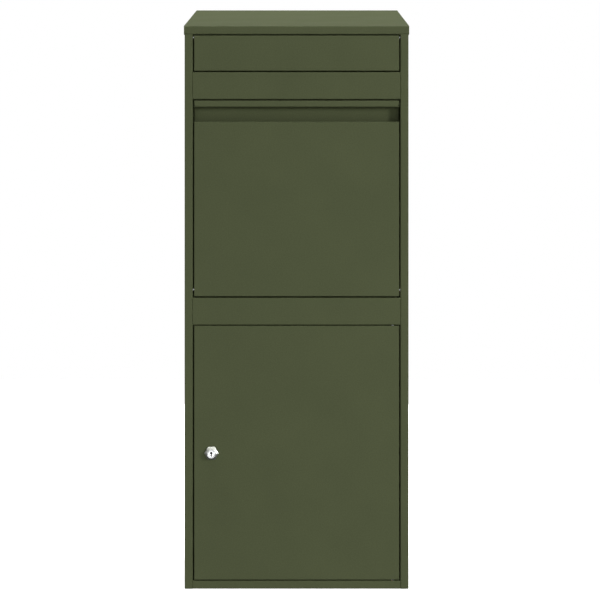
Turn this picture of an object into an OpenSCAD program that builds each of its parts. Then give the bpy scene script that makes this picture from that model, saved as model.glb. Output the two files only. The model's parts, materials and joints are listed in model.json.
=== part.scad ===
// Parcel drop box: a free-standing steel cabinet with a letter flap, a parcel
// hopper door and a locked retrieval door. Millimetres, +Z up, front towards -Y.
// The origin is under the middle of the whole box, on the floor.

/* [Cabinet] */
// Width over the side panels
body_w = 410; // [300:1:600]
// Depth from the front plane to the back of the rear panel
body_d = 380; // [330:1:600]
// Height of the roof's front edge
front_h = 1030; // [960:1:1400]
// How much higher the roof stands at the rear
roof_rise = 95; // [40:1:180]
// Sheet thickness
sheet_t = 1.2; // [0.8:0.1:2]
// Inside radius of every fold
bend_r = 1; // [0.5:0.1:2]
// Width of the front stiles
stile_w = 15; // [12:1:40]
// How far the stiles and rails return inwards
return_d = 22; // [18:1:30]
// Height of the sill under the retrieval door
sill_h = 15; // [14:1:60]
// Height of the rails between the doors
rail_h = 50; // [40:1:90]
// Height of the roof's fascia and of its other skirts
fascia_h = 15; // [10:1:30]
// Width of the side panels' rear flanges
rear_flange_w = 15; // [12:1:40]
// Height of the lip that the doors close against
stop_lip_h = 8; // [6:1:12]

/* [Openings] */
// Height of the letter opening
letter_open_h = 69; // [60:1:90]
// Height of the parcel opening
parcel_open_h = 363; // [300:1:420]
// Gap round the flap and the parcel door, and beside the retrieval door
door_gap = 2; // [1.8:0.1:3]
// Gap over and under the retrieval door
door_end_gap = 1.2; // [1:0.1:2]

/* [Letter flap] */
// Depth of the flap's folded edges
flap_d = 9; // [8.5:0.5:9.5]
// How far the flap's pin axis lies under its top edge
flap_pin_drop = 3.5; // [3:0.1:4]
// Outside diameter of the torsion springs
spring_d = 7.4; // [6.8:0.1:7.6]
// Wire of the torsion springs
spring_wire = 1.2; // [0.8:0.1:1.4]
// Length of each torsion spring's coil
spring_len = 16; // [10:1:30]

/* [Parcel hopper] */
// Height of the lip over the grip
grip_lip_h = 12; // [10:1:20]
// How much shorter each end of the lip is at its lower edge
lip_slant = 3.5; // [2:0.5:6]
// Height of the grip recess
grip_h = 27; // [22:1:40]
// Depth of the grip recess
grip_d = 24; // [20:1:30]
// Height of the pin axis above the door's lower edge
parcel_pin_rise = 12; // [10:1:16]
// Angle that the door opens to
parcel_open = 50; // [35:1:52]
// Slope of the closed tray below level
tray_slope = 30; // [20:1:35]
// Reach of the tray from the pin axis
tray_reach = 250; // [180:1:270]
// Radius of the cheeks about the pin axis
cheek_r = 335; // [290:1:340]
// Gap between the tray and the fixed baffle
baffle_gap = 28; // [15:1:40]

/* [Retrieval door] */
// Depth of the door's folded edges
door_d = 16; // [14:1:18]
// Distance of the pin axis from the door's edge
door_pin_in = 12; // [11:0.5:13]
// Distance of the lock from the door's other edge
lock_in = 32.5; // [28:0.5:60]
// How far the lock lies under the middle of the door
lock_low = 1.5; // [0:0.5:60]
// Width of the stiffening channels
stiffener_w = 50; // [30:1:80]

/* [Pins] */
// Diameter of every hinge pin
pin_d = 4; // [3:0.1:4.4]
// Depth of every pin axis behind the front plane
pin_in = 6; // [5.5:0.1:6.4]
// Radial clearance of a pin in its bush
pin_clear = 0.05; // [0.02:0.01:0.09]
// Outside diameter of the bushes
bush_d = 7; // [6.6:0.1:7.4]
// Length of the bushes
bush_len = 6; // [4:0.5:8]

/* [Lock] */
// Diameter of the lock barrel
barrel_d = 16; // [14:0.5:17]
// Diameter of the turning plug
plug_d = 12; // [10:0.5:12.5]
// Hexagon width across flats of the bezel
bezel_af = 23; // [22:0.5:30]
// Thickness of the bezel
bezel_t = 5; // [3:0.5:8]
// How far the bezel's hexagon is centred above the barrel
bezel_lift = 0.8; // [0:0.2:2]
// How far the barrel stands out of the bezel
barrel_proud = 8; // [1:0.5:10]
// Reach of the cam from the plug's axis
cam_reach = 44; // [40:1:46]
// Width of the cam
cam_w = 15; // [12:1:18]

/* [Mounting] */
// Spacing of the floor anchor holes across the box
anchor_x = 300; // [200:1:340]
// Spacing of the floor anchor holes from front to back
anchor_y = 260; // [180:1:290]
// Diameter of the floor anchor holes
anchor_d = 10; // [8:0.5:13]
// Spacing of the wall holes across the box
wall_x = 300; // [200:1:340]
// Height between the two rows of wall holes
wall_z = 700; // [500:1:720]
// Height of the lower row of wall holes
wall_low = 200; // [100:1:230]
// Diameter of the wall holes
wall_d = 8.5; // [6:0.5:11]

/* [Hidden] */
olive = "#4e533d";
steel = "#b9bcbd";
nylon = "#e4e1d6";
rubber = "#2a2a2a";
$fn = 48;
bend_steps = 4;
// Overlap that keeps a cut clear of the faces it passes through
cut = 1;

// Places across the width
half_w = body_w / 2;
open_half = half_w - stile_w;
door_half = open_half - door_gap;
wall_half = half_w - sheet_t;

// Places from front to back
lock_proud = bezel_t + barrel_proud;
rivet_head_t = 1;
rear_proud = sheet_t + rivet_head_t;
front_y = lock_proud - (lock_proud + body_d + rear_proud) / 2;
rear_y = front_y + body_d;
pin_y = front_y + pin_in;
mid_y = (front_y + rear_y) / 2;

// Heights
letter_top = front_h - fascia_h;
letter_bottom = letter_top - letter_open_h;
parcel_top = letter_bottom - rail_h;
parcel_bottom = parcel_top - parcel_open_h;
door_top = parcel_bottom - rail_h;
flap_pin_z = letter_top - door_gap - flap_pin_drop;
parcel_pin_z = parcel_bottom + door_gap + parcel_pin_rise;
door_pin_x = door_half - door_pin_in;

// Roof
roof_run = body_d + sheet_t;
roof_slope = atan(roof_rise / roof_run);
roof_drop = sheet_t / cos(roof_slope);
function roof_z(y) = front_h + (y - front_y) * roof_rise / roof_run;
function under_roof_z(y) = roof_z(y) - roof_drop;

// Stops
grip_back = front_y + grip_d + sheet_t;
buffer_t = 3;
buffer_clear = 0.3;
upper_lip_y = grip_back + buffer_t;
middle_lip_y = front_y + door_d + buffer_t + 1;
middle_lip_end = door_pin_x - door_pin_in - door_d;
stop_x = 120;
tab_w = 16;
flap_tab_y = front_y + return_d + 2;

// Rivets
rivet_d = 4;
rivet_head_d = 7;
rivet_x = half_w - rear_flange_w / 2;
rivet_rows = 6;
rivet_margin = 60;

// Lock
lock_x = lock_in - door_half;
lock_z = (sill_h + door_top) / 2 - lock_low;
plug_clear = 0.05;
plug_inset = 0.3;
key_depth = 9;
key_round_d = 4.2;
key_rise = 1.8;
key_slot_w = 1.8;
key_drop = 4.4;
barrel_end = front_y + return_d - 2;
// The cam turns just behind the keeper
plug_end = front_y + return_d + sheet_t + 0.8;
back_nut_af = 22;
back_nut_t = 5;
cam_t = 2.5;
cam_screw_d = 5;
cam_screw_len = 8;
keeper_h = 60;
keeper_grip = 12;
keeper_foot = 10;

// Baffle
baffle_lift = 23;
baffle_rise = 105;
baffle_flange = 28;
baffle_hem = 12;
baffle_y = pin_y + (tray_reach + baffle_gap) * cos(baffle_lift);
baffle_z = parcel_pin_z + (tray_reach + baffle_gap) * sin(baffle_lift);

// Chute
chute_gap = 8;
chute_drop = 14;
chute_len = 135;
chute_fall = 47;
chute_side_h = 12;

chute_y = front_y + return_d + chute_gap;
chute_z = letter_bottom - chute_drop;

// Hopper, seen from the pin axis
liner_back = door_d + sheet_t - pin_in;
cheek_front = grip_d + sheet_t - pin_in;
cheek_top = parcel_open_h - 2 * door_gap - parcel_pin_rise - grip_lip_h - grip_h - sheet_t;
cheek_shoulder = 26;
tray_lift = 22;
tray_flange = 25;
tray_hem = 10;
tray_rivet_z = tray_lift - liner_back * tan(tray_slope) + tray_flange * 0.6;
stop_t = 3;
ear_w = 10;
ear_r = cheek_r + 11;
lip_back = upper_lip_y + sheet_t - pin_y;
// The tray's underside starts here, above the pin axis, and ends at its tip
tray_off = tray_lift * cos(tray_slope);
tray_run = sqrt(tray_reach * tray_reach - tray_off * tray_off);
tray_tip = [tray_run * cos(tray_slope) + tray_off * sin(tray_slope),
    tray_off * cos(tray_slope) - tray_run * sin(tray_slope)];
tip_angle = atan2(tray_tip.y, tray_tip.x);

// Shared places of the small parts
head_d = 7.4;
head_t = 3;

// Sheet-metal outlines
function unit(a) = [cos(a), sin(a)];
function heading(p, q) = atan2(q.y - p.y, q.x - p.x);
function turn(a, b) = (b - a + 540) % 360 - 180;
function backwards(v) = [for (i = [len(v) - 1:-1:0]) v[i]];

// Arc of radius r round the bend at p, whose fold line has radius rp
function bend_arc(p, a, k, rp, r) =
    let (centre = p - unit(a) * rp * tan(abs(k) / 2) + unit(a + 90) * sign(k) * rp)
    [for (i = [0:bend_steps]) centre + r * unit(a - 90 * sign(k) + k * i / bend_steps)];

// One face of a folded sheet, at a distance from the path towards its side (1 left, -1 right)
function folded_face(path, side, distance) =
    let (last = len(path) - 1, a = [for (i = [0:last - 1]) heading(path[i], path[i + 1])])
    concat(
        [path[0] + unit(a[0] + 90 * side) * distance],
        [for (i = [1:last - 1]) each
            let (
                k = turn(a[i - 1], a[i]),
                inner = sign(k) == side,
                rp = inner ? bend_r + sheet_t : bend_r
            )
            bend_arc(path[i], a[i - 1], k, rp, inner ? rp - distance : rp + distance)],
        [path[last] + unit(a[last - 1] + 90 * side) * distance]
    );

// Section of a sheet folded along a path, with its thickness on one side of it
module folded(path, side) {
    polygon(concat(folded_face(path, side, 0), backwards(folded_face(path, side, sheet_t))));
}

// Outline of a pan, rounded at its two front corners
function pan_outline(a0, a1, y0, y1, r) =
    concat(
        [[a0, y1]],
        [for (i = [0:bend_steps]) [a0 + r, y0 + r] + r * unit(180 + 90 * i / bend_steps)],
        [for (i = [0:bend_steps]) [a1 - r, y0 + r] + r * unit(270 + 90 * i / bend_steps)],
        [[a1, y1]]
    );

// Extrudes a Y-Z section along X
module along_x(x0, x1) {
    translate([x0, 0, 0]) rotate([90, 0, 90]) linear_extrude(x1 - x0) children();
}

// Extrudes an X-Y section along Z
module along_z(z0, z1) {
    translate([0, 0, z0]) linear_extrude(z1 - z0) children();
}

module block(p0, p1) {
    translate(p0) cube(p1 - p0);
}

module rod_x(d, x0, x1, y, z) {
    translate([x0, y, z]) rotate([0, 90, 0]) cylinder(d = d, h = x1 - x0);
}

module rod_y(d, y0, y1, x, z) {
    translate([x, y0, z]) rotate([-90, 0, 0]) cylinder(d = d, h = y1 - y0);
}

module rod_z(d, z0, z1, x, y) {
    translate([x, y, z0]) cylinder(d = d, h = z1 - z0);
}

// Mirrors a piece of the left side to the right
module right() {
    mirror([1, 0, 0]) children();
}

// A closed pan shape, rounded along its four front edges
module pan_block(half, z0, z1, y0, y1, r) {
    intersection() {
        along_z(z0, z1) polygon(pan_outline(-half, half, y0, y1, r));
        along_x(-half, half) polygon([for (p = pan_outline(z0, z1, y0, y1, r)) [p.y, p.x]]);
    }
}

// A sheet pan with four folded edges
module pan(half, z0, z1, depth) {
    difference() {
        pan_block(half, z0, z1, front_y, front_y + depth, bend_r + sheet_t);
        pan_block(half - sheet_t, z0 + sheet_t, z1 - sheet_t, front_y + sheet_t, front_y + depth + cut, bend_r);
    }
}

// Everything that lies under the roof sheet and behind its fascia
module under_roof() {
    y0 = front_y + sheet_t;
    corner = bend_r * tan((90 + roof_slope) / 2);
    along_x(-body_w, body_w) polygon([
        [front_y - cut, -cut], [rear_y, -cut], [rear_y, under_roof_z(rear_y) - corner],
        [rear_y - corner, under_roof_z(rear_y - corner)], [y0 + bend_r, under_roof_z(y0 + bend_r)],
        [y0, under_roof_z(y0) - bend_r], [y0, letter_top], [front_y - cut, letter_top]
    ]);
}

// Places its children on both sides of the box
module both_sides() {
    for (s = [0, 1]) mirror([s, 0, 0]) children();
}

// ---- Where the rivets go ----

module at_rear_rivets() {
    pitch = (front_h - 2 * rivet_margin) / (rivet_rows - 1);
    for (x = [-rivet_x, rivet_x], i = [0:rivet_rows - 1])
        translate([x, rear_y, rivet_margin + i * pitch]) rotate([90, 0, 0]) children();
}

module at_roof_rivets() {
    y1 = rear_y + sheet_t;
    for (x = [-wall_x / 2, 0, wall_x / 2])
        translate([x, y1, roof_z(y1) - fascia_h * 0.6]) rotate([90, 0, 0]) children();
}

module at_chute_rivets() {
    for (f = [0.25, 0.8]) both_sides()
        translate([wall_half - sheet_t, chute_y + f * chute_len, chute_z - f * chute_fall + chute_side_h * 0.55])
        rotate([0, 90, 0]) children();
}

module at_baffle_rivets() {
    z = baffle_z + baffle_rise + baffle_flange / 2;
    for (x = [-stop_x, stop_x])
        translate([x, rear_y - 2 * sheet_t, z]) rotate([-90, 0, 0]) children();
}

module at_keeper_rivets() {
    for (z = [lock_z - keeper_h / 3, lock_z + keeper_h / 3])
        translate([-open_half - 2 * sheet_t, front_y + return_d - keeper_grip / 2, z])
        rotate([0, 90, 0]) children();
}

module at_cheek_rivets() {
    y = pin_y + (liner_back + cheek_front) / 2;
    for (f = [0.15, 0.5, 0.85]) both_sides()
        translate([door_half - 2 * sheet_t, y, parcel_pin_z + f * cheek_top]) rotate([0, 90, 0]) children();
}

module at_tray_rivets() {
    for (x = [-stop_x, 0, stop_x])
        translate([x, pin_y + liner_back + sheet_t, parcel_pin_z + tray_rivet_z]) rotate([90, 0, 0]) children();
}

// A rivet with its head below the origin and its shank going up through the sheets
module rivet(length) {
    color(steel) union() {
        cylinder(d = rivet_d, h = length);
        translate([0, 0, -rivet_head_t]) cylinder(d1 = rivet_head_d - rivet_head_t, d2 = rivet_head_d,
            h = rivet_head_t);
    }
}

module rivet_hole() {
    translate([0, 0, -cut]) cylinder(d = rivet_d, h = 2 * sheet_t + 2 * cut);
}

// ---- Cabinet ----

module side_panel() {
    color(olive) difference() {
        intersection() {
            along_z(0, front_h + roof_rise) folded([
                [rear_flange_w - half_w, rear_y - sheet_t], [-half_w, rear_y - sheet_t],
                [-half_w, front_y], [-open_half, front_y], [-open_half, front_y + return_d]
            ], 1);
            under_roof();
        }
        for (z = [flap_pin_z, parcel_pin_z])
            rod_x(bush_d, -half_w + sheet_t + cut, -open_half + cut, pin_y, z);
        at_rear_rivets() rivet_hole();
        at_chute_rivets() rivet_hole();
    }
}

module left_side_panel() {
    difference() {
        side_panel();
        at_keeper_rivets() rivet_hole();
    }
}

module right_side_panel() {
    right() side_panel();
}

module rear_panel() {
    color(olive) difference() {
        intersection() {
            block([-half_w, rear_y - sheet_t, 0], [half_w, rear_y, front_h + roof_rise]);
            under_roof();
        }
        for (x = [-wall_x / 2, wall_x / 2], z = [wall_low, wall_low + wall_z])
            rod_y(wall_d, rear_y - sheet_t - cut, rear_y + cut, x, z);
        at_rear_rivets() rivet_hole();
        at_roof_rivets() rivet_hole();
        at_baffle_rivets() rivet_hole();
    }
}

module base_pan() {
    floor_rear = rear_y - 2 * sheet_t;
    color(olive) difference() {
        union() {
            along_x(-open_half, open_half) folded([
                [front_y + return_d, sill_h], [front_y, sill_h], [front_y, 0],
                [floor_rear, 0], [floor_rear, sill_h]
            ], 1);
            both_sides() {
                block([open_half - cut, front_y + return_d, 0], [wall_half, floor_rear - 2 * bend_r, sheet_t]);
                block([wall_half - sheet_t, front_y + return_d, 0],
                    [wall_half, floor_rear - 2 * bend_r, sill_h]);
                // The floor inside the hollow stile
                block([open_half + sheet_t, front_y + sheet_t + bend_r, 0],
                    [wall_half, front_y + return_d + cut, sheet_t]);
            }
        }
        for (x = [-anchor_x / 2, anchor_x / 2], y = [mid_y - anchor_y / 2, mid_y + anchor_y / 2])
            rod_z(anchor_d, -cut, sheet_t + cut, x, y);
        rod_z(bush_d, sill_h - sheet_t - cut, sill_h + cut, door_pin_x, pin_y);
    }
}

module roof_cap() {
    y0 = front_y + sheet_t;
    y1 = rear_y + sheet_t;
    color(olive) difference() {
        union() {
            along_x(-half_w - sheet_t, half_w + sheet_t) folded([
                [front_y + flap_d + 1, letter_top], [front_y, letter_top], [front_y, front_h],
                [y1, roof_z(y1)], [y1, roof_z(y1) - fascia_h]
            ], -1);
            both_sides() along_x(half_w, half_w + sheet_t) polygon([
                [y0, letter_top], [rear_y, roof_z(y1) - fascia_h],
                [rear_y, under_roof_z(rear_y)], [y0, under_roof_z(y0)]
            ]);
        }
        at_roof_rivets() rivet_hole();
        // The fascia's lip ends beside the stiles
        both_sides() block([open_half, y0, letter_top - cut],
            [half_w, front_y + flap_d + 2, letter_top + sheet_t + bend_r]);
    }
}

module roof_brace() {
    y0 = front_y + 45;
    y1 = y0 + 22;
    z0 = under_roof_z(y0) - 25;
    color(olive) along_x(-wall_half, wall_half)
        folded([[y1, under_roof_z(y1)], [y0, under_roof_z(y0)], [y0, z0], [y1, z0]], 1);
}

module upper_rail() {
    color(olive) along_x(-open_half, open_half) folded([
        [front_y + return_d, letter_bottom], [front_y, letter_bottom], [front_y, parcel_top],
        [upper_lip_y, parcel_top], [upper_lip_y, parcel_top - stop_lip_h]
    ], 1);
}

module middle_rail() {
    color(olive) difference() {
        along_x(-open_half, open_half) folded([
            [front_y + return_d, parcel_bottom], [front_y, parcel_bottom], [front_y, door_top],
            [middle_lip_y, door_top], [middle_lip_y, door_top - stop_lip_h]
        ], 1);
        rod_z(bush_d, door_top - cut, door_top + sheet_t + cut, door_pin_x, pin_y);
        // The lip stops short of the hinge edge, which swings inwards
        block([middle_lip_end, front_y + door_d, door_top - stop_lip_h - cut],
            [open_half + cut, middle_lip_y + 2 * sheet_t, door_top]);
    }
}

module letter_chute() {
    y1 = chute_y + chute_len;
    z1 = chute_z - chute_fall;
    trim = 4;
    color(olive) difference() {
        union() {
            along_x(-wall_half, wall_half) folded([[chute_y, chute_z - chute_side_h], [chute_y, chute_z],
                [y1, z1], [y1, z1 - chute_side_h]], -1);
            both_sides() along_x(wall_half - sheet_t, wall_half) polygon([
                [chute_y + trim, chute_z - trim], [y1 - trim, z1],
                [y1 - trim, z1 + chute_side_h], [chute_y + trim, chute_z + chute_side_h]
            ]);
        }
        at_chute_rivets() rivet_hole();
    }
}

module rear_baffle() {
    y1 = rear_y - sheet_t;
    z1 = baffle_z + baffle_rise;
    color(olive) difference() {
        along_x(-door_half, door_half) folded([
            [y1, z1 + baffle_flange], [y1, z1], [baffle_y, baffle_z], [baffle_y, baffle_z - baffle_hem]
        ], -1);
        at_baffle_rivets() rivet_hole();
    }
}

module lock_keeper() {
    x0 = -open_half - sheet_t;
    y1 = front_y + return_d;
    color(steel) difference() {
        along_z(lock_z - keeper_h / 2, lock_z + keeper_h / 2) folded([
            [x0, y1 - keeper_grip], [x0, y1 + sheet_t], [x0 - keeper_foot, y1 + sheet_t]
        ], 1);
        at_keeper_rivets() rivet_hole();
    }
}

// A nylon bush, pressed into the stile's return
module bush_x(z) {
    color(nylon) difference() {
        rod_x(bush_d, -open_half - bush_len, -open_half, pin_y, z);
        rod_x(pin_d + 2 * pin_clear, -open_half - bush_len - cut, -open_half + cut, pin_y, z);
    }
}

module bush_z(z0) {
    color(nylon) difference() {
        rod_z(bush_d, z0, z0 + bush_len, door_pin_x, pin_y);
        rod_z(pin_d + 2 * pin_clear, z0 - cut, z0 + bush_len + cut, door_pin_x, pin_y);
    }
}

module flap_bush_left() {
    bush_x(flap_pin_z);
}

module flap_bush_right() {
    right() bush_x(flap_pin_z);
}

module parcel_bush_left() {
    bush_x(parcel_pin_z);
}

module parcel_bush_right() {
    right() bush_x(parcel_pin_z);
}

module door_bush_top() {
    bush_z(door_top);
}

module door_bush_bottom() {
    bush_z(sill_h - bush_len);
}

// Two rubber blocks on the lip above a door
module buffers(y0, y1, top, gap) {
    color(rubber) for (x = [-stop_x, stop_x])
        block([x - tab_w / 2, y0 + buffer_clear, top - stop_lip_h + 0.5],
            [x + tab_w / 2, y1, top - gap]);
}

module parcel_door_buffers() {
    buffers(grip_back, upper_lip_y, parcel_top, door_gap);
}

module retrieval_door_buffers() {
    buffers(front_y + door_d, middle_lip_y, door_top, door_end_gap);
}

module rear_rivets() {
    at_rear_rivets() rivet(2 * sheet_t);
}

module roof_rivets() {
    at_roof_rivets() rivet(2 * sheet_t);
}

module chute_rivets() {
    at_chute_rivets() rivet(2 * sheet_t);
}

module baffle_rivets() {
    at_baffle_rivets() rivet(2 * sheet_t);
}

module keeper_rivets() {
    at_keeper_rivets() rivet(2 * sheet_t);
}

// ---- Letter flap ----

module letter_flap_skin() {
    z0 = letter_bottom + door_gap;
    z1 = letter_top - door_gap;
    spring_room = door_half - sheet_t - spring_len - 6;
    color(olive) difference() {
        pan(door_half, z0, z1, flap_d);
        both_sides() {
            block([spring_room, front_y + sheet_t + bend_r, z1 - sheet_t - bend_r],
                [door_half - sheet_t, front_y + flap_d + cut, z1 + cut]);
            rod_x(pin_d, door_half - sheet_t - cut, door_half + cut, pin_y, flap_pin_z);
        }
    }
}

module flap_pin() {
    color(steel) rod_x(pin_d, -open_half - bush_len, -door_half + spring_len + 8, pin_y, flap_pin_z);
}

module flap_pin_left() {
    flap_pin();
}

module flap_pin_right() {
    right() flap_pin();
}

// A torsion spring on the pin, with one leg down the back of the flap
module flap_spring() {
    x0 = -door_half + sheet_t + 2;
    x1 = x0 + spring_len;
    leg_x = x1 - spring_wire / 2;
    leg_y = pin_y - spring_d / 2 + spring_wire / 2;
    leg_len = 26;
    color(steel) union() {
        difference() {
            rod_x(spring_d, x0, x1, pin_y, flap_pin_z);
            rod_x(spring_d - 2 * spring_wire, x0 - cut, x1 + cut, pin_y, flap_pin_z);
        }
        rod_z(spring_wire, flap_pin_z - leg_len, flap_pin_z - 1, leg_x, leg_y);
        // The foot is a little thinner than the leg that it runs right through
        rod_y(spring_wire * 0.9, front_y + sheet_t, leg_y + spring_wire, leg_x,
            flap_pin_z - leg_len + spring_wire);
    }
}

module flap_spring_left() {
    flap_spring();
}

module flap_spring_right() {
    right() flap_spring();
}

// Two tabs that reach down behind the rail and keep the flap from swinging outwards
module flap_stop_tabs() {
    y0 = front_y + sheet_t + 2 * bend_r;
    z0 = letter_bottom + door_gap + 2 * sheet_t;
    color(steel) for (x = [-stop_x, stop_x]) along_x(x - tab_w / 2, x + tab_w / 2)
        folded([[y0, z0], [flap_tab_y + sheet_t, z0], [flap_tab_y + sheet_t, letter_bottom - 5]], -1);
}

module flap_buffers() {
    color(rubber) for (x = [-stop_x, stop_x])
        block([x - tab_w / 2 + 2, front_y + return_d + buffer_clear, letter_bottom - 4],
            [x + tab_w / 2 - 2, flap_tab_y, letter_bottom]);
}

// ---- Parcel hopper ----

module parcel_door_skin() {
    z0 = parcel_bottom + door_gap;
    z1 = parcel_top - door_gap;
    grip_top = z1 - grip_lip_h;
    grip_floor = grip_top - grip_h;
    corner = sheet_t + bend_r;
    color(olive) difference() {
        intersection() {
            union() {
                along_x(-door_half, door_half) folded([
                    [grip_back, grip_top + sheet_t + 1], [grip_back, z1], [front_y, z1],
                    [front_y, grip_top], [grip_back - sheet_t, grip_top],
                    [grip_back - sheet_t, grip_floor], [front_y, grip_floor], [front_y, z0],
                    [front_y + door_d, z0]
                ], 1);
                both_sides() block([door_half - sheet_t, front_y + sheet_t, z0], [door_half, grip_back, z1]);
            }
            pan_block(door_half, z0, z1, front_y, grip_back, bend_r + sheet_t);
        }
        both_sides() {
            rod_x(pin_d, door_half - sheet_t - cut, door_half + cut, pin_y, parcel_pin_z);
            // The lip's ends slope inwards, and the grip is open at its ends
            translate([0, front_y + corner, 0]) rotate([90, 0, 0]) linear_extrude(corner + cut) polygon([
                [door_half - lip_slant, grip_top - cut], [door_half + cut, grip_top - cut],
                [door_half + cut, z1 - corner], [door_half, z1 - corner]
            ]);
            block([door_half - sheet_t - cut, front_y - cut, grip_floor],
                [door_half + cut, grip_back - 3 * sheet_t, grip_top]);
        }
        at_cheek_rivets() rivet_hole();
    }
}

module parcel_door_liner() {
    y0 = front_y + door_d;
    color(olive) difference() {
        block([-door_half + sheet_t, y0, parcel_bottom + door_gap + sheet_t],
            [door_half - sheet_t, y0 + sheet_t, parcel_pin_z + cheek_top]);
        at_tray_rivets() rivet_hole();
    }
}

module hopper_tray() {
    x1 = door_half - 2 * sheet_t;
    z0 = tray_lift - liner_back * tan(tray_slope);
    color(olive) difference() {
        translate([0, pin_y, parcel_pin_z]) along_x(-x1, x1) folded([
            [liner_back, z0 + tray_flange], [liner_back, z0],
            tray_tip, tray_tip + tray_hem * unit(-tray_slope - 90)
        ], 1);
        at_tray_rivets() rivet_hole();
    }
}

// A block that stands square behind the upper rail's lip when the door is open
module stop_block(r0, r1, y0, y1, width) {
    rotate([-parcel_open, 0, 0]) translate([0, lip_back + y0, r0]) cube([width, y1 - y0, r1 - r0]);
}

module hopper_cheek() {
    low = 90 - parcel_open - 8;
    high = acos(cheek_front / cheek_r);
    color(olive) difference() {
        translate([sheet_t - door_half, pin_y, parcel_pin_z]) union() {
            along_x(0, sheet_t) polygon(concat(
                [[liner_back, -parcel_pin_rise], [cheek_front, -parcel_pin_rise]],
                [for (i = [0:6]) tray_reach * unit(tip_angle + (cheek_shoulder - tip_angle) * i / 6)],
                [for (i = [0:8]) cheek_r * unit(low + (high - low) * i / 8)],
                [[cheek_front, cheek_top], [liner_back, cheek_top]]
            ));
            stop_block(cheek_r - 30, ear_r, stop_t + buffer_clear, ear_w, sheet_t);
        }
        at_cheek_rivets() rivet_hole();
    }
}

module hopper_cheek_left() {
    hopper_cheek();
}

module hopper_cheek_right() {
    right() hopper_cheek();
}

// The rubber block on a cheek's ear, which ends the door's travel
module hopper_stop() {
    color(rubber) translate([sheet_t - door_half, pin_y, parcel_pin_z])
        stop_block(cheek_r + 2, ear_r, buffer_clear, stop_t + buffer_clear, 4);
}

module hopper_stop_left() {
    hopper_stop();
}

module hopper_stop_right() {
    right() hopper_stop();
}

module parcel_pin() {
    x0 = sheet_t - door_half;
    color(steel) union() {
        rod_x(pin_d, -open_half - bush_len, x0 + head_t, pin_y, parcel_pin_z);
        rod_x(head_d, x0, x0 + head_t, pin_y, parcel_pin_z);
    }
}

module parcel_pin_left() {
    parcel_pin();
}

module parcel_pin_right() {
    right() parcel_pin();
}

module cheek_rivets() {
    at_cheek_rivets() rivet(2 * sheet_t);
}

module tray_rivets() {
    at_tray_rivets() rivet(2 * sheet_t);
}

// ---- Retrieval door ----

module retrieval_door_skin() {
    z0 = sill_h + door_end_gap;
    z1 = door_top - door_end_gap;
    color(olive) difference() {
        pan(door_half, z0, z1, door_d);
        rod_y(barrel_d, front_y - cut, front_y + sheet_t + cut, lock_x, lock_z);
        rod_z(pin_d, z0 - cut, z0 + sheet_t + cut, door_pin_x, pin_y);
        rod_z(pin_d, z1 - sheet_t - cut, z1 + cut, door_pin_x, pin_y);
    }
}

// A hat channel behind the door skin
module door_stiffener() {
    x0 = -door_half / 3 - stiffener_w / 2;
    x1 = x0 + stiffener_w;
    y0 = front_y + sheet_t;
    foot = 10;
    rise = door_d - 3 * sheet_t;
    margin = door_end_gap + 3 * sheet_t;
    color(olive) along_z(sill_h + margin, door_top - margin) folded([
        [x0 - foot, y0], [x0, y0], [x0, y0 + rise], [x1, y0 + rise], [x1, y0], [x1 + foot, y0]
    ], 1);
}

module door_stiffener_left() {
    door_stiffener();
}

module door_stiffener_right() {
    right() door_stiffener();
}

module door_pin_top() {
    z1 = door_top - door_end_gap - sheet_t;
    color(steel) union() {
        rod_z(pin_d, z1 - head_t, door_top + bush_len - 1, door_pin_x, pin_y);
        rod_z(head_d, z1 - head_t, z1, door_pin_x, pin_y);
    }
}

module door_pin_bottom() {
    z0 = sill_h + door_end_gap + sheet_t;
    collar_d = 6;
    color(steel) union() {
        rod_z(pin_d, sill_h - bush_len + 1, z0 + head_t, door_pin_x, pin_y);
        rod_z(head_d, z0, z0 + head_t, door_pin_x, pin_y);
        rod_z(collar_d, sill_h + buffer_clear, sill_h + door_end_gap, door_pin_x, pin_y);
    }
}

module lock_barrel() {
    color(steel) difference() {
        rod_y(barrel_d, front_y - lock_proud, barrel_end, lock_x, lock_z);
        rod_y(plug_d + 2 * plug_clear, front_y - lock_proud - cut, barrel_end + cut, lock_x, lock_z);
    }
}

// A six-sided nut with its flats at the top and bottom
module hex_nut(af, bore, y0, y1, lift) {
    difference() {
        translate([lock_x, y0, lock_z + lift]) rotate([-90, 0, 0])
            cylinder(d = af / cos(30), h = y1 - y0, $fn = 6);
        rod_y(bore, y0 - cut, y1 + cut, lock_x, lock_z);
    }
}

module lock_bezel() {
    color(steel) hex_nut(bezel_af, barrel_d, front_y - bezel_t, front_y, bezel_lift);
}

module lock_back_nut() {
    color(steel) hex_nut(back_nut_af, barrel_d, front_y + sheet_t, front_y + sheet_t + back_nut_t, 0);
}

// ---- Lock plug ----

module lock_plug() {
    y0 = front_y - lock_proud + plug_inset;
    color(steel) difference() {
        rod_y(plug_d, y0, plug_end, lock_x, lock_z);
        rod_y(key_round_d, y0 - cut, y0 + key_depth, lock_x, lock_z + key_rise);
        block([lock_x - key_slot_w / 2, y0 - cut, lock_z - key_drop],
            [lock_x + key_slot_w / 2, y0 + key_depth, lock_z + key_rise]);
        rod_y(cam_screw_d, plug_end - cam_screw_len, plug_end + cut, lock_x, lock_z);
    }
}

module lock_cam() {
    color(steel) translate([lock_x, plug_end, lock_z]) rotate([-90, 0, 0]) difference() {
        union() {
            cylinder(d = cam_w, h = cam_t);
            translate([-cam_w / 2, cam_w / 2 - cam_reach, 0]) cube([cam_w, cam_reach - cam_w / 2, cam_t]);
            translate([0, cam_w / 2 - cam_reach, 0]) cylinder(d = cam_w, h = cam_t);
        }
        translate([0, 0, -cut]) cylinder(d = cam_screw_d, h = cam_t + 2 * cut);
    }
}

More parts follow.
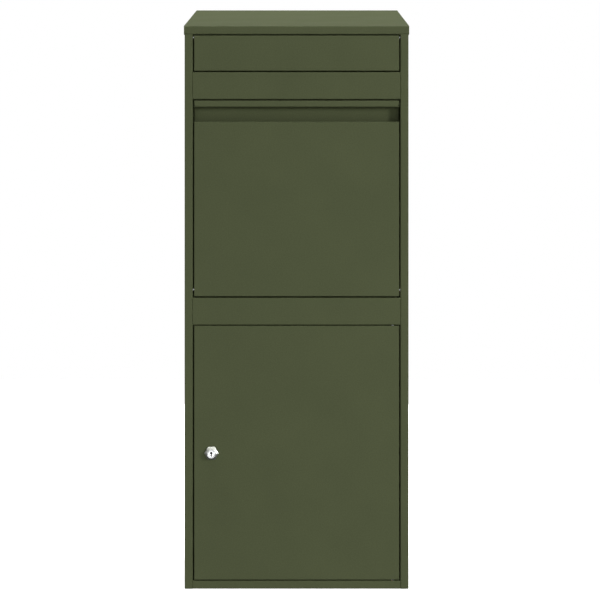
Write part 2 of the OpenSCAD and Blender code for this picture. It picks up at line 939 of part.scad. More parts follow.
module cam_screw() {
    y1 = plug_end + cam_t;
    color(steel) union() {
        rod_y(cam_screw_d, plug_end - cam_screw_len, y1, lock_x, lock_z);
        rod_y(9, y1, y1 + 3, lock_x, lock_z);
    }
}

left_side_panel();
right_side_panel();
rear_panel();
base_pan();
roof_cap();
roof_brace();
upper_rail();
middle_rail();
letter_chute();
rear_baffle();
lock_keeper();
flap_bush_left();
flap_bush_right();
parcel_bush_left();
parcel_bush_right();
door_bush_top();
door_bush_bottom();
parcel_door_buffers();
retrieval_door_buffers();
rear_rivets();
roof_rivets();
chute_rivets();
baffle_rivets();
keeper_rivets();
letter_flap_skin();
flap_pin_left();
flap_pin_right();
flap_spring_left();
flap_spring_right();
flap_stop_tabs();
flap_buffers();
parcel_door_skin();
parcel_door_liner();
hopper_tray();
hopper_cheek_left();
hopper_cheek_right();
hopper_stop_left();
hopper_stop_right();
parcel_pin_left();
parcel_pin_right();
cheek_rivets();
tray_rivets();
retrieval_door_skin();
door_stiffener_left();
door_stiffener_right();
door_pin_top();
door_pin_bottom();
lock_barrel();
lock_bezel();
lock_back_nut();
lock_plug();
lock_cam();
cam_screw();
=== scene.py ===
# %% [markdown]
# # A parcel drop box in powder-coated sheet steel
# The real thing is a floor-standing cabinet of folded steel sheet. A letter flap hangs under the roof,
# a hopper door tilts out for parcels, and a locked door at the bottom lets the owner take them out.
# The measured shapes come from the CAD frame, so nothing is fitted by eye here. This file gives each
# piece its soft edges, its finish and its light.

# %% Load the measured frame
import json
import math

import bmesh
import bpy
from mathutils import Matrix, Vector


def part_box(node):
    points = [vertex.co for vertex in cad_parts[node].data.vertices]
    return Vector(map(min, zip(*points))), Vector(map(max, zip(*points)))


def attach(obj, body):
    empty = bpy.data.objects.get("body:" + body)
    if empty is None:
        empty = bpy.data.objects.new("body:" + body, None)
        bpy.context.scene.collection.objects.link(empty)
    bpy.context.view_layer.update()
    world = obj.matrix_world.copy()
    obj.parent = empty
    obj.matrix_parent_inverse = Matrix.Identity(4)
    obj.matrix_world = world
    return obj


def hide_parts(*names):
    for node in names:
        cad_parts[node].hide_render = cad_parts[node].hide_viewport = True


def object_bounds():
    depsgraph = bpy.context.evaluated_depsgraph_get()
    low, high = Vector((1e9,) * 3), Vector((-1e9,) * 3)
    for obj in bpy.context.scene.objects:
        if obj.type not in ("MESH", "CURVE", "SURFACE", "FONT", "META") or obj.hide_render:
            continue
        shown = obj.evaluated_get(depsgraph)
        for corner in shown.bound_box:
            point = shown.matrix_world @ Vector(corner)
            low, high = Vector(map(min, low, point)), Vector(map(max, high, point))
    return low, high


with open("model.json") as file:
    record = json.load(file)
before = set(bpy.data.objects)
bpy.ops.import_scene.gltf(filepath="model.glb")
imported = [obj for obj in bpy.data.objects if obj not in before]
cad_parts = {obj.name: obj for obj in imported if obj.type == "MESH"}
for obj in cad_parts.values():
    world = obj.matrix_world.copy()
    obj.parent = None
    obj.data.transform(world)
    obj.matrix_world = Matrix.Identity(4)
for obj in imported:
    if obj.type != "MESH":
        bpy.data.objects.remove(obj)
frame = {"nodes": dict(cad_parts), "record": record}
cad_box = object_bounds()
MM = 0.001
record = frame["record"]
body_of_node = {node: body for body, nodes in record["behaviour"]["bodies"].items() for node in nodes}
slot_of_node = {part["node"]: part["material_slot"] for part in record["subparts"]}
front_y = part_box("left_side_panel")[0].y
print("nodes:", len(frame["nodes"]), "front plane at", round(front_y, 4))

# %% [markdown]
# ## Colours and nodes
# A paint maker's colour card gives sRGB values, but a renderer adds light in linear values. One
# function turns a hex colour into linear numbers. One more adds a shader node, sets it and links it,
# so that each material below reads as a short list. A third starts an empty material, whose patterns
# are laid out in the object's own metres, so that a pattern's size is a real size.

# %% Colour, node and material helpers
def linear(hex_colour):
    """Linear RGBA of an sRGB hex colour."""
    parts = [int(hex_colour[i:i + 2], 16) / 255 for i in (1, 3, 5)]
    return [p / 12.92 if p <= 0.04045 else ((p + 0.055) / 1.055) ** 2.4 for p in parts] + [1.0]


def add(tree, kind, sockets=None, **settings):
    """Adds one node. A socket's value may be a number, a colour or another node's output."""
    node = tree.nodes.new(kind)
    for name, value in settings.items():
        setattr(node, name, value)
    for name, value in (sockets or {}).items():
        if isinstance(value, bpy.types.NodeSocket):
            tree.links.new(value, node.inputs[name])
        else:
            node.inputs[name].default_value = value
    return node


def new_finish(name):
    """An empty node material and the object-space position that its patterns are drawn in."""
    finish = bpy.data.materials.new(name)
    finish.use_nodes = True
    finish.node_tree.nodes.clear()
    place = add(finish.node_tree, "ShaderNodeTexCoord")
    return finish, finish.node_tree, place.outputs["Object"]


print("mid grey #808080 in linear light:", round(linear("#808080")[0], 3))

# %% [markdown]
# ## Powder coat
# The sheets are sprayed with dry olive polyester powder and baked. The powder melts into a skin with
# a faint orange-peel texture, about a millimetre from bump to bump, and a matt gloss. It could be a
# flat colour, but then the big panels would look like plastic film, so the colour drifts by a few
# percent over 70 mm, as the thickness of the coat does, and a fine bump breaks up the gloss. The peel
# is drawn 1.6 mm across and the grain of the powder 2.2 mm, a little coarser than life, so that they
# still show. A smooth paint has an IOR of about 1.5. A fine matt powder scatters most of that mirror
# light away, so the specular level is very low, and a roof seen almost edge-on stays olive.

# %% Powder coat material
COAT_THIN = "#464c34"
COAT_THICK = "#4c5239"


def powder_coat():
    finish, tree, place = new_finish("powder_coat_baked_matt_olive")
    drift = add(tree, "ShaderNodeTexNoise", {"Vector": place, "Scale": 1 / (70 * MM), "Detail": 3.0})
    grain = add(tree, "ShaderNodeTexNoise", {"Vector": place, "Scale": 1 / (2.2 * MM), "Detail": 2.0})
    peel = add(tree, "ShaderNodeTexNoise", {"Vector": place, "Scale": 1 / (1.6 * MM), "Detail": 1.0})
    tone = add(tree, "ShaderNodeMix", {0: drift.outputs[0], 6: linear(COAT_THIN), 7: linear(COAT_THICK)},
               data_type="RGBA")
    speck = add(tree, "ShaderNodeMapRange", {0: grain.outputs[0], 1: 0.35, 2: 0.65, 3: 0.93, 4: 1.07})
    shade = add(tree, "ShaderNodeMix", {0: 1.0, 6: tone.outputs[2], 7: speck.outputs[0]},
                data_type="RGBA", blend_type="MULTIPLY")
    gloss = add(tree, "ShaderNodeMapRange", {0: drift.outputs[0], 1: 0.3, 2: 0.7, 3: 0.62, 4: 0.70})
    bump = add(tree, "ShaderNodeBump", {"Height": peel.outputs[0], "Strength": 0.25, "Distance": 0.06 * MM})
    coat = add(tree, "ShaderNodeBsdfPrincipled", {
        "Base Color": shade.outputs[2], "Roughness": gloss.outputs[0], "Normal": bump.outputs[0],
        "Specular IOR Level": 0.06, "IOR": 1.5})
    add(tree, "ShaderNodeOutputMaterial", {"Surface": coat.outputs[0]})
    return finish


finishes = {"powder_coat": powder_coat()}
print("coat:", finishes["powder_coat"].name, COAT_THIN, "to", COAT_THICK)

# %% [markdown]
# ## Bright zinc, chrome, nylon and rubber
# Pins, rivets, springs, the keeper and the cam are zinc-plated: a cool grey metal with a soft, cloudy
# gloss. The lock is chrome plate over die-cast zinc, so it is brighter and much sharper. The bushes are
# moulded natural nylon, a waxy off-white that lets a little light in. The buffers are black rubber
# with a dry, matt skin. Metals take their look from reflections, so they get fine changes of
# roughness rather than of colour.

# %% The small parts' materials
def zinc_plate():
    finish, tree, place = new_finish("zinc_plate_bright_on_steel")
    cloud = add(tree, "ShaderNodeTexNoise", {"Vector": place, "Scale": 1 / (6 * MM), "Detail": 4.0})
    tone = add(tree, "ShaderNodeMix", {0: cloud.outputs[0], 6: linear("#b4b8bb"), 7: linear("#cdd0d2")},
               data_type="RGBA")
    gloss = add(tree, "ShaderNodeMapRange", {0: cloud.outputs[0], 1: 0.3, 2: 0.7, 3: 0.28, 4: 0.42})
    scratch = add(tree, "ShaderNodeTexNoise", {"Vector": place, "Scale": 1 / (0.8 * MM), "Detail": 2.0})
    bump = add(tree, "ShaderNodeBump", {
        "Height": scratch.outputs[0], "Strength": 0.2, "Distance": 0.02 * MM})
    metal = add(tree, "ShaderNodeBsdfPrincipled", {
        "Base Color": tone.outputs[2], "Metallic": 1.0, "Roughness": gloss.outputs[0],
        "Normal": bump.outputs[0]})
    add(tree, "ShaderNodeOutputMaterial", {"Surface": metal.outputs[0]})
    return finish


def chrome_plate():
    finish, tree, place = new_finish("chrome_plate_polished_on_die_cast_zinc")
    cloud = add(tree, "ShaderNodeTexNoise", {"Vector": place, "Scale": 1 / (3 * MM), "Detail": 3.0})
    tone = add(tree, "ShaderNodeMix", {0: cloud.outputs[0], 6: linear("#dfe1e3"), 7: linear("#ececed")},
               data_type="RGBA")
    gloss = add(tree, "ShaderNodeMapRange", {0: cloud.outputs[0], 1: 0.3, 2: 0.7, 3: 0.14, 4: 0.22})
    metal = add(tree, "ShaderNodeBsdfPrincipled", {
        "Base Color": tone.outputs[2], "Metallic": 1.0, "Roughness": gloss.outputs[0]})
    add(tree, "ShaderNodeOutputMaterial", {"Surface": metal.outputs[0]})
    return finish


def moulded_nylon():
    finish, tree, place = new_finish("nylon_moulded_natural")
    cloud = add(tree, "ShaderNodeTexNoise", {"Vector": place, "Scale": 1 / (4 * MM), "Detail": 2.0})
    tone = add(tree, "ShaderNodeMix", {0: cloud.outputs[0], 6: linear("#ddd9cc"), 7: linear("#ebe8de")},
               data_type="RGBA")
    gloss = add(tree, "ShaderNodeMapRange", {0: cloud.outputs[0], 1: 0.3, 2: 0.7, 3: 0.4, 4: 0.52})
    skin = add(tree, "ShaderNodeBsdfPrincipled", {
        "Base Color": tone.outputs[2], "Roughness": gloss.outputs[0], "IOR": 1.53,
        "Subsurface Weight": 0.15, "Subsurface Scale": 1 * MM})
    add(tree, "ShaderNodeOutputMaterial", {"Surface": skin.outputs[0]})
    return finish


def moulded_rubber():
    finish, tree, place = new_finish("rubber_moulded_matt_black")
    grain = add(tree, "ShaderNodeTexNoise", {"Vector": place, "Scale": 1 / (0.9 * MM), "Detail": 3.0})
    tone = add(tree, "ShaderNodeMix", {0: grain.outputs[0], 6: linear("#222222"), 7: linear("#303030")},
               data_type="RGBA")
    bump = add(tree, "ShaderNodeBump", {"Height": grain.outputs[0], "Strength": 0.3, "Distance": 0.05 * MM})
    skin = add(tree, "ShaderNodeBsdfPrincipled", {
        "Base Color": tone.outputs[2], "Roughness": 0.82, "IOR": 1.52, "Normal": bump.outputs[0]})
    add(tree, "ShaderNodeOutputMaterial", {"Surface": skin.outputs[0]})
    return finish


finishes["zinc_steel"] = zinc_plate()
finishes["lock_chrome"] = chrome_plate()
finishes["nylon"] = moulded_nylon()
finishes["rubber"] = moulded_rubber()
print("finishes:", sorted(finish.name for finish in finishes.values()))

# %% [markdown]
# ## Placing a piece
# Every piece stands for one measured node, so it rides on that node's body and takes its finish from
# that node's slot. Doing this in one function keeps a door's edges, pins and skin moving together. A
# second function turns a mesh under construction into a finished one. It shades it smooth, and keeps
# a crease wherever two faces meet at more than a given angle.

# %% A piece that stands for a node, and its mesh
def stand_for(node, mesh):
    """Shows a mesh in place of a CAD node."""
    mesh.materials.clear()
    mesh.materials.append(finishes[slot_of_node[node]])
    piece = bpy.data.objects.new(node + "_made", mesh)
    bpy.context.scene.collection.objects.link(piece)
    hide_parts(node)
    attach(piece, body_of_node[node])
    return piece


def made_mesh(node, shape, crease):
    """Turns a finished bmesh into a smooth mesh with creases where faces meet at a sharper angle."""
    mesh = bpy.data.meshes.new(node + "_made")
    shape.to_mesh(mesh)
    shape.free()
    mesh.shade_smooth()
    mesh.set_sharp_from_angle(angle=math.radians(crease))
    return mesh


print("bodies:", sorted(set(body_of_node.values())))

# %% [markdown]
# ## Soft edges
# A folded sheet has round bends, and even its cut edges are dulled by the punch and by the coat that
# wraps round them. A knife-sharp edge gives no highlight and looks false. The measured mesh is copied,
# its split corners are joined, its flat triangles are merged into whole faces, and a narrow bevel
# rounds the edges that are left. Bevelling a clean copy is better than bevelling the triangles, which
# would leave creases. The big faces then set the shading at their own corners, because otherwise the
# roundness of an edge would bleed across a whole door.

# %% Joining, merging and bevelling a copy
JOIN_WITHIN = 0.005
FLAT_WITHIN = 0.5
CREASE_FROM = 32
BEVEL_FROM = 40


def joined(node):
    """The node's shape with its corners joined and its flat triangles merged."""
    shape = bmesh.new()
    shape.from_mesh(frame["nodes"][node].data)
    bmesh.ops.remove_doubles(shape, verts=shape.verts, dist=JOIN_WITHIN * MM)
    bmesh.ops.dissolve_limit(shape, angle_limit=math.radians(FLAT_WITHIN), verts=shape.verts,
                             edges=shape.edges)
    bmesh.ops.recalc_face_normals(shape, faces=shape.faces)
    return shape


def softened(node, width, segments=2):
    """A copy of the node with edges rounded by a width in mm, shown in its place."""
    piece = stand_for(node, made_mesh(node, joined(node), CREASE_FROM))
    edge = piece.modifiers.new("soft_edges", "BEVEL")
    edge.width = width * MM
    edge.segments = segments
    edge.limit_method = "ANGLE"
    edge.angle_limit = math.radians(BEVEL_FROM)
    flat = piece.modifiers.new("flat_faces_stay_flat", "WEIGHTED_NORMAL")
    flat.weight = 100
    flat.keep_sharp = True
    return piece


SHEET_EDGE = 0.3

sheets = [node for node in frame["nodes"]
          if slot_of_node[node] == "powder_coat" and not node.endswith("_rivets")]
for node in sheets:
    softened(node, SHEET_EDGE)
print("sheets:", len(sheets))

# %% [markdown]
# ## Small turned and moulded parts
# Pins, bushes and the lock are turned or cast, and each has a chamfer so that it goes into its hole.
# Rubber blocks come out of their mould with rounder edges still. The same bevel makes them all, with a
# width that suits each: a quarter of a millimetre on a bush, a little more on a pin or the plug, and
# most on the lock's barrel and on rubber.

# %% Bevelled small parts
RUBBER_EDGE = 0.8
NYLON_EDGE = 0.25
METAL_EDGE = 0.3
BARREL_EDGE = 0.7

for node in frame["nodes"]:
    if slot_of_node[node] == "rubber":
        softened(node, RUBBER_EDGE, 3)
    elif slot_of_node[node] == "nylon":
        softened(node, NYLON_EDGE)
for node in ("flap_pin_left", "flap_pin_right", "parcel_pin_left", "parcel_pin_right", "door_pin_top",
             "door_pin_bottom", "lock_keeper", "lock_cam", "lock_back_nut"):
    softened(node, METAL_EDGE)
softened("lock_barrel", BARREL_EDGE, 3)
plug = softened("lock_plug", METAL_EDGE)

# %% [markdown]
# ## The keyhole
# A keyhole is a deep, narrow slot, so it lies in shade and looks black even in a bright lock.
# Polished walls would mirror the studio and hide the hole. So the walls of the hole are painted with
# a near-black shade, a finish of their own, picked out by their place: nearer to the axis than the
# plug's rim, behind its face, and no deeper than the keyway.

# %% Painted shade on the keyhole walls
KEYWAY_REACH = 0.9
KEYWAY_FROM = 0.1
KEYWAY_TO = 9.5


# Painted shade: a near-black colour that stands in for the shade deep in the keyway.
def keyhole_painted_shade():
    finish, tree, place = new_finish("keyhole_walls_painted_shade")
    cloud = add(tree, "ShaderNodeTexNoise", {"Vector": place, "Scale": 1 / (1.5 * MM), "Detail": 2.0})
    tone = add(tree, "ShaderNodeMix", {0: cloud.outputs[0], 6: linear("#1c1a17"), 7: linear("#2e2a24")},
               data_type="RGBA")
    skin = add(tree, "ShaderNodeBsdfPrincipled", {"Base Color": tone.outputs[2], "Roughness": 0.6})
    add(tree, "ShaderNodeOutputMaterial", {"Surface": skin.outputs[0]})
    return finish


plug.data.materials.append(keyhole_painted_shade())
low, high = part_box("lock_plug")
rim = (high.x - low.x) / 2
axis = (low + high) / 2
walls = 0
# The faces picked below get the painted shade of the keyhole.
for face in plug.data.polygons:
    corners = [plug.data.vertices[v].co for v in face.vertices]
    away = max(math.hypot(corner.x - axis.x, corner.z - axis.z) for corner in corners)
    deep = (face.center.y - low.y) / MM
    if away < KEYWAY_REACH * rim and KEYWAY_FROM < deep < KEYWAY_TO:
        face.material_index = 1
        walls += 1
print("keyhole walls:", walls)

# %% [markdown]
# ## Satin chrome
# The hexagon round the lock is turned and then plated. Fine turning marks stay under the plate, so
# its chrome is a little softer and warmer than the barrel's. It has a finish of its own.

# %% Satin chrome material
def satin_chrome():
    finish, tree, place = new_finish("chrome_plate_satin_on_turned_hexagon")
    cloud = add(tree, "ShaderNodeTexNoise", {"Vector": place, "Scale": 1 / (2 * MM), "Detail": 3.0})
    tone = add(tree, "ShaderNodeMix", {0: cloud.outputs[0], 6: linear("#cfd2c8"), 7: linear("#e0e2da")},
               data_type="RGBA")
    gloss = add(tree, "ShaderNodeMapRange", {0: cloud.outputs[0], 1: 0.3, 2: 0.7, 3: 0.30, 4: 0.40})
    metal = add(tree, "ShaderNodeBsdfPrincipled", {
        "Base Color": tone.outputs[2], "Metallic": 1.0, "Roughness": gloss.outputs[0]})
    add(tree, "ShaderNodeOutputMaterial", {"Surface": metal.outputs[0]})
    return finish


satin = satin_chrome()
print("finish:", satin.name)

# %% [markdown]
# ## The lock's hexagon
# The hexagon round the lock is cut from hexagon bar and then turned, so its face is a shallow cone that
# falls away from the barrel, and its six corners end lower than the middles of its flats. The cone
# mirrors a different part of the room at every side: bright on the side of the key light, dark below.
# A plain hexagon with a bevel lacks this. Here the outline's radius is worked out angle by angle, and
# each point is set back as far as the cone cuts it.

# %% Coned hexagon round the barrel
CONE_SLOPE = 20
HEXAGON_EDGE = 0.3
HEXAGON_STEPS = 144


def coned_hexagon(node, bore_node):
    """A hexagon with a coned face and a round bore for another node."""
    low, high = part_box(node)
    bore_low, bore_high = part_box(bore_node)
    centre = Vector(((low.x + high.x) / 2, 0, (low.z + high.z) / 2))
    bore = Vector(((bore_low.x + bore_high.x) / 2, 0, (bore_low.z + bore_high.z) / 2))
    flat = (high.z - low.z) / 2
    hole = (bore_high.x - bore_low.x) / 2
    face, edge = low.y, HEXAGON_EDGE * MM
    shape = bmesh.new()
    rings = [[] for _ in range(6)]
    for k in range(HEXAGON_STEPS):
        turn = math.tau * k / HEXAGON_STEPS
        from_corner = abs((math.degrees(turn) + 30) % 60 - 30)
        reach = flat / math.cos(math.radians(30 - from_corner))
        rim_y = face + (reach - hole) * math.tan(math.radians(CONE_SLOPE))
        out = Vector((math.cos(turn), 0, math.sin(turn)))
        outline = ((centre, reach, high.y), (centre, reach, rim_y + edge), (centre, reach - edge, rim_y),
                   (bore, hole + edge, face), (bore, hole, face + edge), (bore, hole, high.y))
        for ring, (middle, radius, y) in zip(rings, outline):
            ring.append(shape.verts.new(middle + radius * out + Vector((0, y, 0))))
    for inner, outer in zip(rings, rings[1:] + rings[:1]):
        for k in range(HEXAGON_STEPS):
            n = (k + 1) % HEXAGON_STEPS
            shape.faces.new([inner[k], inner[n], outer[n], outer[k]])
    bmesh.ops.recalc_face_normals(shape, faces=shape.faces)
    print(node, "across flats", round(2 * flat / MM, 2), "mm")
    return stand_for(node, made_mesh(node, shape, 25))


hexagon = coned_hexagon("lock_bezel", "lock_barrel")
hexagon.data.materials[0] = satin

# %% [markdown]
# ## Turning a profile
# Rivet heads and screw heads are round, so their outline is drawn once and turned about their axis,
# as on a lathe. `turned` takes pairs of radius and height and gives a closed ring of faces. Some nodes
# hold several solids, and `islands` walks along their edges to tell one from another, always in the
# same order.

# %% A small lathe
def turned(shape, outline, place, steps=32):
    """Adds an outline of (radius, height) turned about the Z axis of the matrix `place`."""
    rings = []
    for radius, height in outline:
        turns = [math.tau * k / steps for k in range(steps)] if radius else [0]
        rings.append([shape.verts.new(place @ Vector((radius * math.cos(a), radius * math.sin(a), height)))
                      for a in turns])
    for low, high in zip(rings, rings[1:]):
        for k in range(steps):
            corners = [low[k % len(low)], low[(k + 1) % len(low)],
                       high[(k + 1) % len(high)], high[k % len(high)]]
            shape.faces.new(list(dict.fromkeys(corners)))


def islands(node):
    """The separate solids in one node, each as a list of corner positions."""
    shape = joined(node)
    left, found = dict.fromkeys(shape.verts), []
    while left:
        queue, solid = [left.popitem()[0]], []
        while queue:
            corner = queue.pop()
            solid.append(corner.co.copy())
            for edge in corner.link_edges:
                other = edge.other_vert(corner)
                if other in left:
                    del left[other]
                    queue.append(other)
        found.append(solid)
    shape.free()
    return found


print("solids in rear_rivets:", len(islands("rear_rivets")))

# %% [markdown]
# ## Rivets
# Pull rivets hold the sheets together. Each has a low dome with a small dimple where the mandrel broke
# off, and they are coated with the sheets. The measured ones are plain cones, so each is found by its
# own solid, and a domed head is turned in its place. The wide end of the solid says which way the head
# faces.

# %% Domed rivet heads
SHANK_SHARE = 0.57
DIMPLE_SHARE = 0.28
DIMPLE_DEPTH = 0.3
DOME_STEP = 10


def dome_outline(wide, tall, shank):
    """Half the section of a pull rivet: a shank, a domed head and a dimple, as (radius, height)."""
    dimple = DIMPLE_SHARE * wide
    steps = [math.radians(DOME_STEP * k) for k in range(1, 8)]
    return ([(0, -shank), (wide * SHANK_SHARE, -shank), (wide * SHANK_SHARE, 0), (wide, 0)]
            + [(wide * math.cos(step), tall * math.sin(step)) for step in steps]
            + [(dimple, tall), (dimple * 0.8, tall - 0.25 * MM), (0, tall - DIMPLE_DEPTH * MM)])


def domed(node):
    """Turns a domed rivet in place of each plain one in the node."""
    shape = bmesh.new()
    for solid in islands(node):
        low = Vector([min(p[k] for p in solid) for k in range(3)])
        high = Vector([max(p[k] for p in solid) for k in range(3)])
        size, middle = high - low, (low + high) / 2
        axis = min(range(3), key=lambda k: abs(size[(k + 1) % 3] - size[(k + 2) % 3]))
        a, b = (axis + 1) % 3, (axis + 2) % 3
        wide = max(size[a], size[b]) / 2
        brim = next(p for p in solid if math.hypot(p[a] - middle[a], p[b] - middle[b]) > wide * 0.95)
        out = Vector((0, 0, 0))
        out[axis] = 1 if brim[axis] > middle[axis] else -1
        seat = middle.copy()
        seat[axis] = brim[axis]
        tall = (high[axis] if out[axis] > 0 else -low[axis]) - seat[axis] * out[axis]
        turn = Vector((0, 0, 1)).rotation_difference(out).to_matrix().to_4x4()
        turned(shape, dome_outline(wide, tall, size[axis] - tall), Matrix.Translation(seat) @ turn)
    bmesh.ops.recalc_face_normals(shape, faces=shape.faces)
    return stand_for(node, made_mesh(node, shape, 50))


for node in [n for n in frame["nodes"] if n.endswith("_rivets")]:
    domed(node)
    print(node, len(islands(node)))

# %% [markdown]
# ## Torsion springs
# Each flap pin carries a spring wound from round wire, with one leg that presses on the flap. A coil
# is a helix, so a round wire section is swept along it. The turns lie close together, a little more
# than one wire's thickness apart. The last half turn brings the wire round to the front, where the leg
# runs down and its foot reaches the flap.

# %% A wound spring
WIRE_RADIUS = 0.6
TURN_PITCH = 2.08
TURN_STEPS = 20


def swept(shape, path, radius, sides=10):
    """Sweeps a round section along a path of points."""
    rings, up = [], Vector((0.31, 0.27, 0.91)).normalized()
    for k, point in enumerate(path):
        along = (path[min(k + 1, len(path) - 1)] - path[max(k - 1, 0)]).normalized()
        across = (up - along * up.dot(along)).normalized()
        up = across
        third = along.cross(across)
        rings.append([shape.verts.new(point + radius * (math.cos(a) * across + math.sin(a) * third))
                      for a in (math.tau * s / sides for s in range(sides))])
    for low, high in zip(rings, rings[1:]):
        for s in range(sides):
            shape.faces.new([low[s], low[(s + 1) % sides], high[(s + 1) % sides], high[s]])
    shape.faces.new(list(reversed(rings[0])))
    shape.faces.new(rings[-1])


def wound_spring(node, pin):
    """A close-wound coil round a pin, with a leg and a foot at its inner end."""
    low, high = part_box(node)
    pin_low, pin_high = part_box(pin)
    centre_y = (pin_low.y + pin_high.y) / 2
    centre_z = (pin_low.z + pin_high.z) / 2
    wire = WIRE_RADIUS * MM
    radius = high.z - centre_z - wire
    start, stop = low.x + wire, high.x - wire
    if low.x > 0:
        start, stop = stop, start
    turns = int(abs(stop - start) / (TURN_PITCH * wire))
    last = turns * TURN_STEPS + TURN_STEPS // 2
    coil = []
    for k in range(last + 1):
        angle = math.tau * (turns + 0.5) * k / last
        coil.append(Vector((start + (stop - start) * k / last, centre_y + radius * math.cos(angle),
                            centre_z + radius * math.sin(angle))))
    end = coil[-1]
    leg = [Vector((stop, end.y, end.z + (low.z + wire - end.z) * share)) for share in (0.2, 0.6, 0.9, 1.0)]
    foot = Vector((stop, low.y + wire, low.z + wire))
    shape = bmesh.new()
    swept(shape, coil + leg + [foot], wire)
    bmesh.ops.recalc_face_normals(shape, faces=shape.faces)
    print(node, turns, "turns")
    return stand_for(node, made_mesh(node, shape, 180))


wound_spring("flap_spring_left", "flap_pin_left")
wound_spring("flap_spring_right", "flap_pin_right")

# %% [markdown]
# ## The cam's screw
# One socket screw holds the cam on the plug. It is an M5 with a flat head, a chamfered rim and a
# hexagon socket. The head and the thread are turned, and the socket is a hexagon pushed into the top
# face.

# %% Socket screw
THREAD_RADIUS = 2.5
HEAD_HEIGHT = 3
SOCKET_RADIUS = 2.4
SOCKET_DEPTH = 1.8
SCREW_CHAMFER = 0.5
SCREW_STEPS = 36


def socket_screw(node):
    """A screw with its head at the back of the node's box and its thread towards the front."""
    low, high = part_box(node)
    middle = (low + high) / 2
    head = (high.x - low.x) / 2
    tip = low.y - high.y
    thread, under_head = THREAD_RADIUS * MM, -HEAD_HEIGHT * MM
    socket, chamfer = SOCKET_RADIUS * MM, SCREW_CHAMFER * MM
    place = Matrix.Translation((middle.x, high.y, middle.z)) @ Matrix.Rotation(math.radians(-90), 4, "X")
    shape = bmesh.new()
    turned(shape, [(0, tip), (thread * 0.8, tip), (thread, tip + chamfer), (thread, under_head),
                   (head, under_head), (head, -chamfer), (head - chamfer, 0), (socket, 0)],
           place, SCREW_STEPS)
    rim = shape.verts[-SCREW_STEPS:]
    per_side = SCREW_STEPS // 6
    deep = []
    for k in range(6):
        corner = Vector((socket * math.cos(math.tau * k / 6), socket * math.sin(math.tau * k / 6), 0))
        deep.append(shape.verts.new(place @ (corner + Vector((0, 0, -SOCKET_DEPTH * MM)))))
    for k in range(6):
        for s in range(per_side):
            at = per_side * k + s
            shape.faces.new([rim[at], rim[(at + 1) % SCREW_STEPS], deep[k]])
        shape.faces.new([rim[per_side * (k + 1) % SCREW_STEPS], deep[(k + 1) % 6], deep[k]])
    shape.faces.new(deep)
    bmesh.ops.recalc_face_normals(shape, faces=shape.faces)
    return stand_for(node, made_mesh(node, shape, 35))


socket_screw("cam_screw")

# %% [markdown]
# ## The floor
# The box stands in a bright product studio on a floor painted pale and lit so evenly that it melts
# into the wall. The floor is there for the eye only: it casts no shadow and sends no light back, so
# that the light from below can be set by a lamp of its own. It lies half a millimetre under the box,
# so that the two never flicker into each other.

# %% Floor
FLOOR_HALF = 8.0
FLOOR_DROP = 0.5


def pale_floor():
    finish, tree, place = new_finish("studio_floor_painted_pale")
    cloud = add(tree, "ShaderNodeTexNoise", {"Vector": place, "Scale": 2.0, "Detail": 2.0})
    tone = add(tree, "ShaderNodeMix", {0: cloud.outputs[0], 6: linear("#f2f2f2"), 7: linear("#f7f7f7")},
               data_type="RGBA")
    paint = add(tree, "ShaderNodeBsdfPrincipled", {
        "Base Color": tone.outputs[2], "Roughness": 0.9, "Emission Color": linear("#ffffff"),
        "Emission Strength": 0.75})
    add(tree, "ShaderNodeOutputMaterial", {"Surface": paint.outputs[0]})
    return finish


mesh = bpy.data.meshes.new("studio_floor")
corners = [(x * FLOOR_HALF, y * FLOOR_HALF, 0) for x, y in ((-1, -1), (1, -1), (1, 1), (-1, 1))]
mesh.from_pydata(corners, [], [(0, 1, 2, 3)])
mesh.materials.append(pale_floor())
floor = bpy.data.objects.new("studio_floor", mesh)
bpy.context.scene.collection.objects.link(floor)
floor.location.z = -FLOOR_DROP * MM
floor.visible_diffuse = False
floor.visible_glossy = False
floor.visible_shadow = False
print("floor side:", 2 * FLOOR_HALF, "m")

# %% [markdown]
# ## The lamps
# A small key light from the upper right draws the shadow to the left of the lock and under the lip of
# the grip. A wide card in front fills the doors, a bounce lifts them from below, and a box overhead
# lights the roof. Three fills behind and at the sides light the back and the side panels, which the
# other lamps miss. A polished lock would show all of these as bright patches, so the bounce and the
# fills are kept out of its reflections. In their place it mirrors two cards of its own, one high and
# one at the left, which shape the hexagon and leave the paint alone.

# %% Lamps
KEY_AZIMUTH = 42
KEY_ELEVATION = 10
KEY_AWAY = 3.4
middle = (cad_box[0] + cad_box[1]) / 2


def panel(name, size, place, target, radiance):
    """A soft rectangular light that faces a target. Radiance 1 looks as bright as white paper."""
    light = bpy.data.lights.new(name, "AREA")
    light.shape = "RECTANGLE"
    light.size, light.size_y = size
    light.energy = radiance * math.pi * light.size * light.size_y
    lamp = bpy.data.objects.new(name, light)
    bpy.context.scene.collection.objects.link(lamp)
    lamp.location = place
    lamp.rotation_euler = (Vector(target) - Vector(place)).to_track_quat("-Z", "Y").to_euler()
    lamp.visible_camera = False
    return lamp


round_to, up_to = math.radians(KEY_AZIMUTH), math.radians(KEY_ELEVATION)
key_way = Vector((math.sin(round_to), -math.cos(round_to), math.tan(up_to))).normalized()
panel("key_light", (0.7, 0.7), middle + KEY_AWAY * key_way, middle, 32.5)
paint_only = [
    panel("back_fill", (5.0, 3.0), (0, 5.2, 0.6), (0, 0, 0.6), 3.2),
    panel("left_fill", (5.0, 3.0), (-5.2, 2.7, 0.6), (0, 2.7, 0.6), 4.4),
    panel("right_fill", (5.0, 3.0), (5.2, 2.7, 0.6), (0, 2.7, 0.6), 2.8),
    panel("floor_bounce", (4.0, 1.6), (0, -2.2, -0.7), (0, 0, 0.8), 1.15)]
panel("white_card", (5.0, 3.4), (0, -5.4, 0.6), (0, 0, 0.6), 1.45)
lock_only = [
    panel("high_card", (6.0, 2.6), (0.4, -3.6, 3.0), (0, 0, 0.25), 0.95),
    panel("left_card", (2.6, 1.8), (-3.8, -4.2, 1.2), (-0.15, -0.18, 0.25), 0.7)]
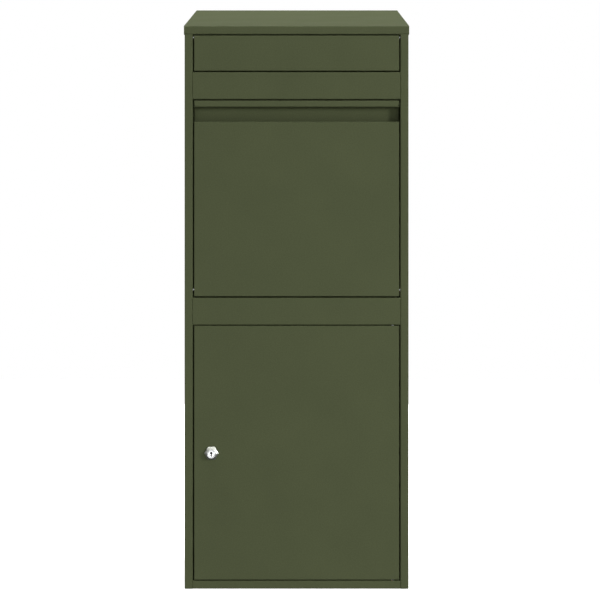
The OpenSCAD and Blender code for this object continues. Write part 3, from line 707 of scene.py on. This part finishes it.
panel("overhead_box", (2.4, 2.0), (0, 0.1, 3.2), (0, 0, 1.0), 6.35)
for lamp in paint_only:
    lamp.visible_glossy = False
for lamp in lock_only:
    lamp.visible_diffuse = False

# %% [markdown]
# ## The sky
# The studio's walls are white to the eye. As a light they are much dimmer, so that the olive stays
# deep, and dimmer still in the lock, where they stand for the dark part of the room.

# %% Sky
SKY_ON_PAINT = 0.22
SKY_IN_METAL = 0.08

world = bpy.data.worlds.new("white_studio")
bpy.context.scene.world = world
world.use_nodes = True
world.node_tree.nodes.clear()
rays = add(world.node_tree, "ShaderNodeLightPath")
gleam = add(world.node_tree, "ShaderNodeMapRange", {
    0: rays.outputs["Is Glossy Ray"], 3: SKY_ON_PAINT, 4: SKY_IN_METAL})
seen = add(world.node_tree, "ShaderNodeMath", {0: gleam.outputs[0], 1: rays.outputs["Is Camera Ray"]},
           operation="MAXIMUM")
sky = add(world.node_tree, "ShaderNodeBackground", {
    "Color": linear("#ffffff"), "Strength": seen.outputs[0]})
add(world.node_tree, "ShaderNodeOutputWorld", {"Surface": sky.outputs[0]})
bpy.context.scene.view_settings.view_transform = "Standard"
print("view transform:", bpy.context.scene.view_settings.view_transform)

# %% [markdown]
# ## The camera
# A long lens from three metres away, at half the box's height and level, keeps the uprights upright.
# It stands a few millimetres to the right of the middle.

# %% Camera
CAMERA_RIGHT = 0.0063
CAMERA_AWAY = 3.05
CAMERA_HEIGHT = 0.5285

lens = bpy.data.cameras.new("camera")
lens.lens = 100
lens.sensor_width = 36
camera = bpy.data.objects.new("camera", lens)
bpy.context.scene.collection.objects.link(camera)
camera.location = (CAMERA_RIGHT, front_y - CAMERA_AWAY, CAMERA_HEIGHT)
camera.rotation_euler = (math.radians(90), 0, 0)
bpy.context.scene.camera = camera
print("camera at", [round(v, 3) for v in camera.location])

# %% [markdown]
# ## The size
# The last cell prints the box of the CAD model. The finished model should fill the same box, since
# every piece stands for a measured one.

# %% Print the size
print("cad box", [[round(v, 4) for v in corner] for corner in cad_box])
